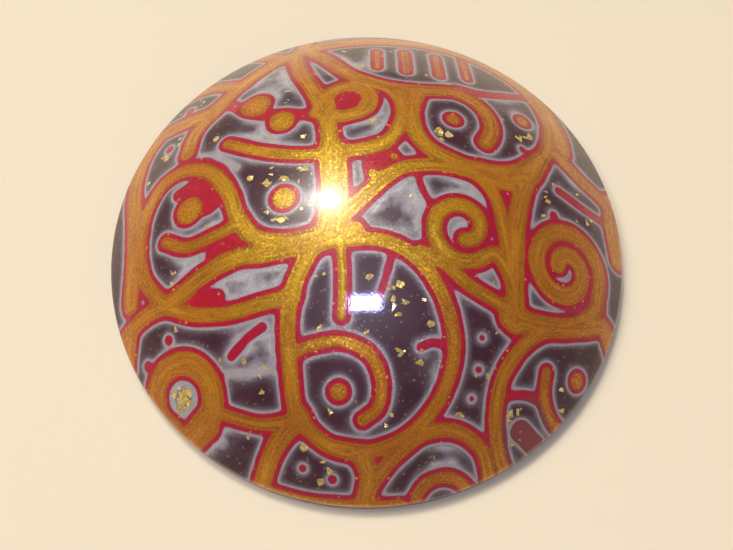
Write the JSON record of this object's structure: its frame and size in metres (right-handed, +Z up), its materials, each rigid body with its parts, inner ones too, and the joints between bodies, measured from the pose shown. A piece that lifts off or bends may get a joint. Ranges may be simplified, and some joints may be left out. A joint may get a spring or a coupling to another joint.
{
  "type": "domed inlaid cabochon",
  "caption": "Round polished dome with gold bands, red and pearl lines and dots inlaid flush in a dark ground, on a flat backing disc.",
  "frame": {"origin": "middle of the flat underside of the backing disc", "axes": "+Z up through the crown of the dome; +Y towards the cell with the row of parallel strokes, +X to its right"},
  "size_m": [0.045, 0.045, 0.011],
  "materials": {
    "gold_mica": "gold mica clay, brushed look under a clear gloss coat",
    "crimson": "crimson clay under a clear gloss coat",
    "pearl_grey": "pale pearl-grey clay under a clear gloss coat",
    "dark_ground": "purple-black clay with metal leaf flecks under a clear gloss coat",
    "core": "plain baked clay",
    "backing": "sanded dark clay"
  },
  "bodies": {
    "root": {"backing_disc": "backing", "bottom_cell_speck_1_pearl": "pearl_grey", "bottom_cell_speck_1_red": "crimson", "bottom_cell_speck_2_pearl": "pearl_grey", "bottom_cell_speck_2_red": "crimson", "dark_ground_layer": "dark_ground", "dome_core": "core", "drop_cell_dot_gold": "gold_mica", "drop_cell_dot_pearl": "pearl_grey", "drop_cell_dot_red": "crimson", "drop_cell_side_dot_gold": "gold_mica", "drop_cell_side_dot_pearl": "pearl_grey", "drop_cell_side_dot_red": "crimson", "drop_cell_speck_red": "crimson", "gold_band_network": "gold_mica", "hub_dot_gold": "gold_mica", "hub_dot_pearl": "pearl_grey", "hub_dot_red": "crimson", "hub_patch_speck_1_gold": "gold_mica", "hub_patch_speck_2_gold": "gold_mica", "left_cell_speck_pearl": "pearl_grey", "left_cell_speck_red": "crimson", "left_rim_speck_red": "crimson", "loop_dot_gold": "gold_mica", "lower_left_bar_red": "crimson", "lower_left_speck_1_red": "crimson", "lower_left_speck_2_red": "crimson", "lower_right_dot_gold": "gold_mica", "lower_right_dot_pearl": "pearl_grey", "lower_right_dot_red": "crimson", "oval_cell_speck_red": "crimson", "pearl_lining_network": "pearl_grey", "red_lining_network": "crimson", "right_cell_speck_red": "crimson", "rim_arch_gold": "gold_mica", "rim_hook_gold": "gold_mica", "rim_patch_red": "crimson", "ring_cell_dot_gold": "gold_mica", "ring_cell_dot_pearl": "pearl_grey", "ring_cell_dot_red": "crimson", "star_cell_speck_1_pearl": "pearl_grey", "star_cell_speck_1_red": "crimson", "star_cell_speck_2_pearl": "pearl_grey", "star_cell_speck_2_red": "crimson", "star_cell_speck_3_pearl": "pearl_grey", "star_cell_speck_3_red": "crimson", "top_cell_stroke_1_gold": "gold_mica", "top_cell_stroke_1_pearl": "pearl_grey", "top_cell_stroke_1_red": "crimson", "top_cell_stroke_2_gold": "gold_mica", "top_cell_stroke_2_pearl": "pearl_grey", "top_cell_stroke_2_red": "crimson", "top_cell_stroke_3_gold": "gold_mica", "top_cell_stroke_3_pearl": "pearl_grey", "top_cell_stroke_3_red": "crimson", "twin_dot_lower_gold": "gold_mica", "twin_dot_upper_gold": "gold_mica"}
  },
  "joints": []
}
